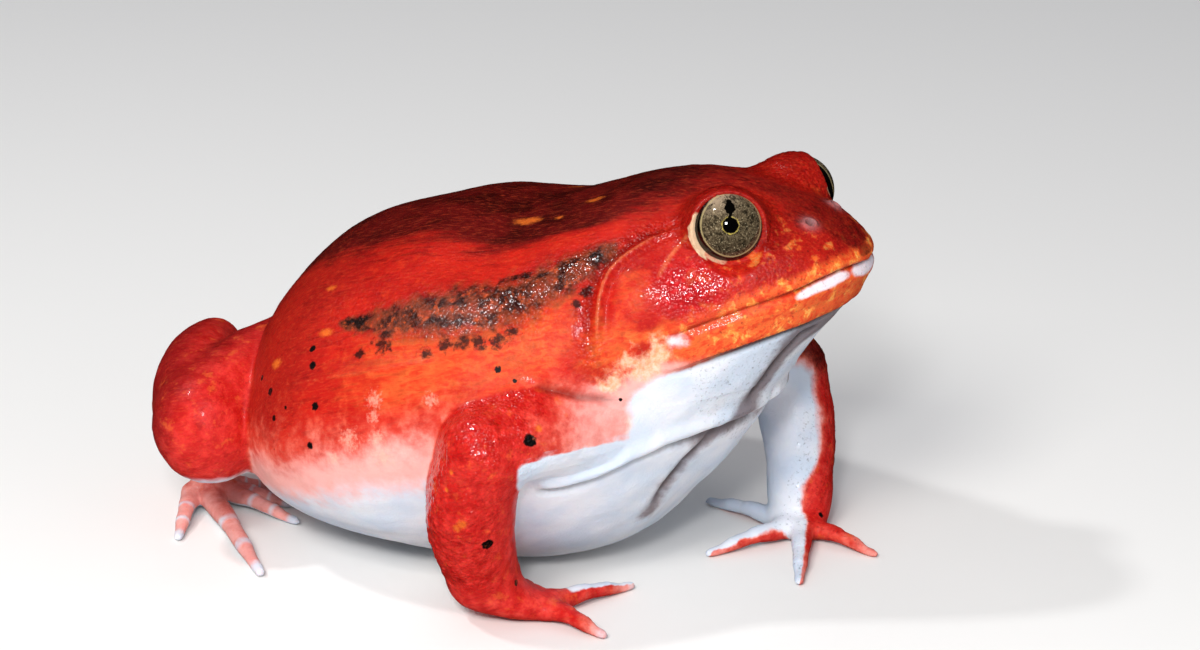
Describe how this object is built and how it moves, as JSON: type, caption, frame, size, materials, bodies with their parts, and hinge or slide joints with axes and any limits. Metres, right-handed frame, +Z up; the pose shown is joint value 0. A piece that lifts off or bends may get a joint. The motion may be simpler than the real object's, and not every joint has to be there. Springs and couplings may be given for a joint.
{
  "type": "tomato frog, still life-size model",
  "caption": "Still life-size model of an inflated red tomato frog, sitting with its head raised, on its belly, hands and feet.",
  "frame": {"origin": "on the floor, at the centre of the model's box", "axes": "+X the way the frog faces, +Y its left side, +Z up"},
  "size_m": [0.1006, 0.073, 0.0562],
  "materials": {
    "skin_red": "moist, gloss",
    "skin_orange": "moist, gloss",
    "throat_pale": "moist, satin",
    "eye": "wet, gloss"
  },
  "bodies": {
    "root": {"head": "skin_orange", "lower_jaw": "throat_pale", "trunk": "skin_orange", "eye_right": "eye", "eye_left": "eye", "upper_arm_right": "skin_red", "forearm_right": "skin_red", "hand_right": "skin_red", "upper_arm_left": "skin_red", "forearm_left": "skin_red", "hand_left": "skin_red", "thigh_right": "skin_red", "shank_right": "skin_red", "foot_right": "skin_red", "thigh_left": "skin_red", "shank_left": "skin_red", "foot_left": "skin_red"}
  },
  "joints": []
}
